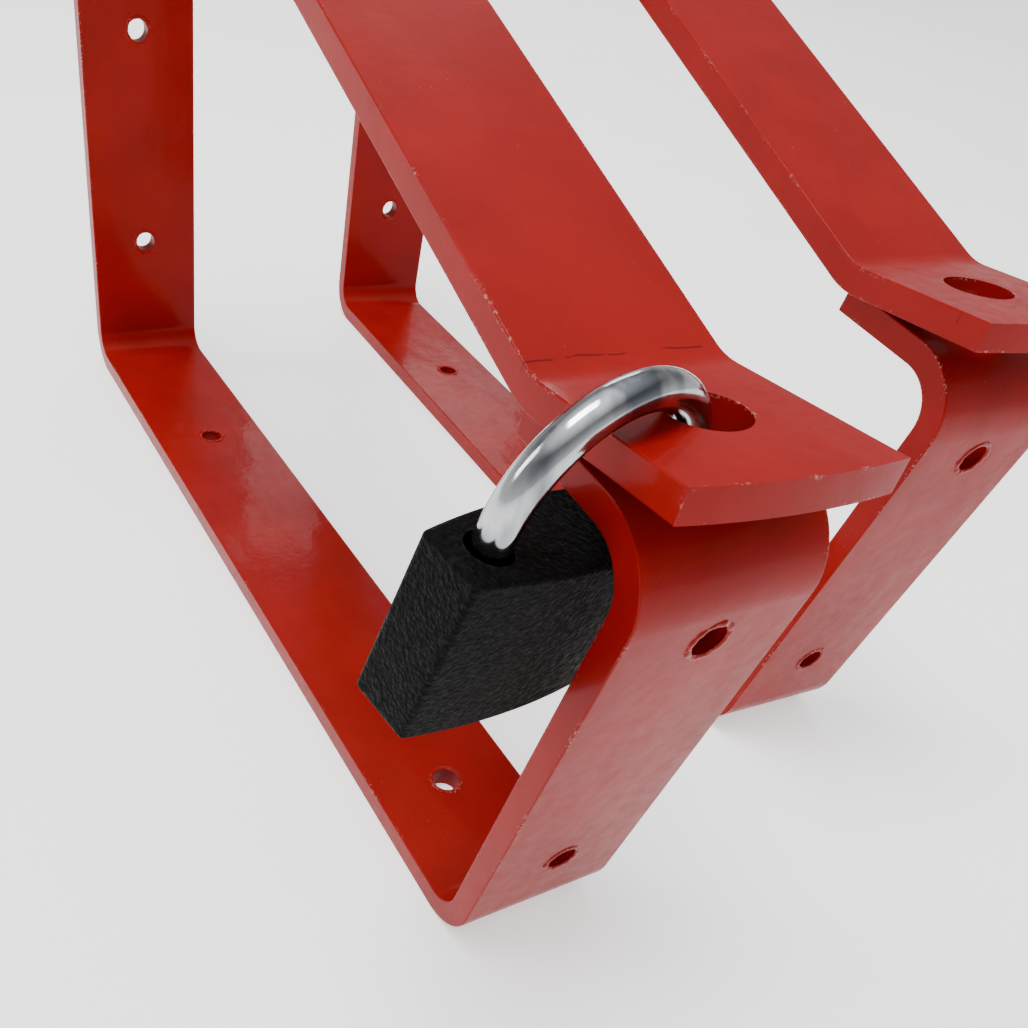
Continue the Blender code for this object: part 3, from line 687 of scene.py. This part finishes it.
def chrome():
    """Polished chrome over the drawn bar's fine lines, hazed in places, with stretched streaks of
    painted dark reflection.
    """
    look = Look("shackle_chrome")
    lines = look.noise(5200, 2, stretch=(1, 1, 0.05))
    haze = look.ramp(look.noise(160, 3), 0.4, 0.75)
    brushed = look.bump(lines, 0.10, 0.00003)
    plate = look.blend(haze, CHROME, CHROME_HAZE)
    # Painted reflection: stretched dark bluish streaks over the chrome.
    dark_reflection_streaks = look.ramp(look.noise(150, 3, stretch=(1, 1, 0.35)), 0.48, 0.60, 0.0, 0.75)
    look.set(Base_Color=look.blend(dark_reflection_streaks, plate, CHROME_DARK_REFLECTION), Normal=brushed)
    look.set(Metallic=1.0, Roughness=look.ramp(look.noise(600, 3), 0.3, 0.75, 0.07, 0.20))
    return look.material


def machined(name, light, dark, low, high):
    """A bare or plated metal with turning marks and stains."""
    look = Look(name)
    stains = look.ramp(look.noise(320, 4), 0.40, 0.68)
    marks = look.bump(look.noise(2400, 3, stretch=(0.2, 1, 1)), 0.25, 0.00006)
    edge = look.edge(0.0004, 0.9, 0.99)
    brighter = tuple(min(1, tone * BRIGHT_EDGE) for tone in light[:3]) + (1,)
    colour = look.blend(edge, look.blend(stains, light, dark), brighter)
    look.set(Base_Color=colour, Metallic=1.0, Normal=marks)
    look.set(Roughness=look.ramp(look.noise(900, 3), 0.3, 0.7, low, high))
    return look.material


def pale_floor():
    look = Look("pale_floor")
    tone = look.ramp(look.noise(3, 3), 0.3, 0.7)
    look.set(Base_Color=look.blend(tone, FLOOR_PALE, FLOOR_PALER))
    look.set(Roughness=look.ramp(look.noise(30, 3), 0.3, 0.7, 0.5, 0.65))
    look.set(Normal=look.bump(look.noise(900, 3), 0.05, 0.0003))
    look.set(Emission_Color=(1.0, 0.99, 0.98, 1), Emission_Strength=FLOOR_GLOW)
    return look.material


# Studio

CAMERA_AT = (-0.0839, -0.2975, 0.0828)
CAMERA_TURN = (48.12, -8.21, -28.02)
CAMERA_LENS = 33.85
CAMERA_SHIFT = (0.102, 0.142)
CAMERA_SENSOR = 36
CAMERA_NEAR = 0.01
FLOOR_SIZE = 8.0
FLOOR_GLOW = 0.80
WORLD_STRENGTH = 0.8
WORLD_TINT = (0.98, 0.99)
# Brightness of the sky at each height, from the horizon at 0 to straight up at 1.
SKY = ((0.0, 1.20), (0.10, 1.05), (0.34, 0.62), (0.55, 0.40), (0.78, 1.40), (1.0, 2.80))
# Name, place, width, height and watts of each softbox.
SOFTBOXES = (
    ("softbox_above", (-0.25, -0.10, 1.15), 0.5, 0.5, 15),
    ("softbox_left", (-1.0, 0.35, 0.60), 0.4, 0.5, 4),
    ("softbox_behind", (0.75, 1.1, 0.75), 0.5, 0.4, 3),
)
SOFTBOX_AIM = (0.03, -0.12, 0.0)


def softbox(name, at, width, height, power):
    data = bpy.data.lights.new(name, "AREA")
    data.shape = "RECTANGLE"
    data.size = width
    data.size_y = height
    data.energy = power
    light = bpy.data.objects.new(name, data)
    light.location = at
    light.rotation_mode = "QUATERNION"
    light.rotation_quaternion = (Vector(SOFTBOX_AIM) - Vector(at)).to_track_quat("-Z", "Y")
    bpy.context.scene.collection.objects.link(light)


def table():
    made = bmesh.new()
    bmesh.ops.create_grid(made, x_segments=1, y_segments=1, size=FLOOR_SIZE / 2)
    floor = object_from("pale_table", made, [pale_floor()])
    floor.location.z = FLOOR_LEVEL


def sky():
    """A pale world whose brightness changes with height only."""
    world = bpy.data.worlds.new("studio")
    world.use_nodes = True
    bpy.context.scene.world = world
    tree = world.node_tree
    place = tree.nodes.new("ShaderNodeTexCoord").outputs["Generated"]
    split = tree.nodes.new("ShaderNodeSeparateXYZ")
    tree.links.new(place, split.inputs[0])
    ramp = tree.nodes.new("ShaderNodeValToRGB")
    while len(ramp.color_ramp.elements) < len(SKY):
        ramp.color_ramp.elements.new(0.5)
    for element, (height, tone) in zip(ramp.color_ramp.elements, SKY):
        element.position = height
        element.color = (tone * WORLD_TINT[0], tone * WORLD_TINT[1], tone, 1)
    tree.links.new(split.outputs["Z"], ramp.inputs[0])
    background = tree.nodes["Background"]
    tree.links.new(ramp.outputs["Color"], background.inputs["Color"])
    background.inputs["Strength"].default_value = WORLD_STRENGTH


def camera():
    data = bpy.data.cameras.new("camera")
    data.lens = CAMERA_LENS
    data.sensor_width = CAMERA_SENSOR
    data.shift_x, data.shift_y = CAMERA_SHIFT
    data.clip_start = CAMERA_NEAR
    made = bpy.data.objects.new("camera", data)
    made.location = CAMERA_AT
    made.rotation_euler = [math.radians(a) for a in CAMERA_TURN]
    bpy.context.scene.collection.objects.link(made)
    bpy.context.scene.camera = made


# Assembly


def put(obj, place, body):
    """Moves a piece to its place in the shared frame and hangs it on its CAD body."""
    obj.data.transform(place)
    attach(obj, body)


def dress(nodes, finishes, other):
    """Gives each CAD body the finish that its name starts with, or the other one."""
    for name, node in nodes.items():
        finish = next((look for start, look in finishes if name.startswith(start)), other)
        node.data.materials.clear()
        node.data.materials.append(finish)


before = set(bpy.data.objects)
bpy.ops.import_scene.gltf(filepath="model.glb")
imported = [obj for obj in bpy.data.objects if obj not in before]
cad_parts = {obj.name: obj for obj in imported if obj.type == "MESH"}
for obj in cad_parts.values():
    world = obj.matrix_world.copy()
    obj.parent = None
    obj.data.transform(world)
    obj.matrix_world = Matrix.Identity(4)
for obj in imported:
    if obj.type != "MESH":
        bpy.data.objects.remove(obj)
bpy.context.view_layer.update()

red = enamel()
steel = machined("zinc_plated_steel", (0.60, 0.60, 0.58, 1), (0.42, 0.42, 0.40, 1), 0.28, 0.45)
brass = machined("turned_brass", (0.68, 0.49, 0.21, 1), (0.46, 0.31, 0.12, 1), 0.22, 0.40)
zinc = machined("raw_cast_zinc", (0.40, 0.40, 0.41, 1), (0.27, 0.27, 0.28, 1), 0.45, 0.62)
black = crinkle()
bright = chrome()

for side in ("near", "far"):
    bracket_at = bracket_place(side)
    bars = bracket_frame(side, [red])
    for piece in bars:
        put(piece, bracket_at, "frames")
    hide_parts(f"{side}_bracket_frame")
    strap_bar = strap(side, [red])
    put(strap_bar, bracket_at, f"{side}_strap_body")
    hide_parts(f"{side}_strap")

lock_at = bracket_place("near") @ lock_place()
case = lock_case([black])
put(case, lock_at, "padlock")
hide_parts("padlock_shell")
loop = lock_shackle([bright])
put(loop, lock_at, "shackle")
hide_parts("padlock_shackle")

FINISHES = (
    ("key_pin", brass),
    ("padlock_plug", brass),
    ("padlock_core", zinc),
    ("padlock_shackle", bright),
    ("near_bracket", red),
    ("far_bracket", red),
    ("near_strap", red),
    ("far_strap", red),
)
dress(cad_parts, FINISHES, steel)

table()
sky()
for box in SOFTBOXES:
    softbox(*box)
camera()
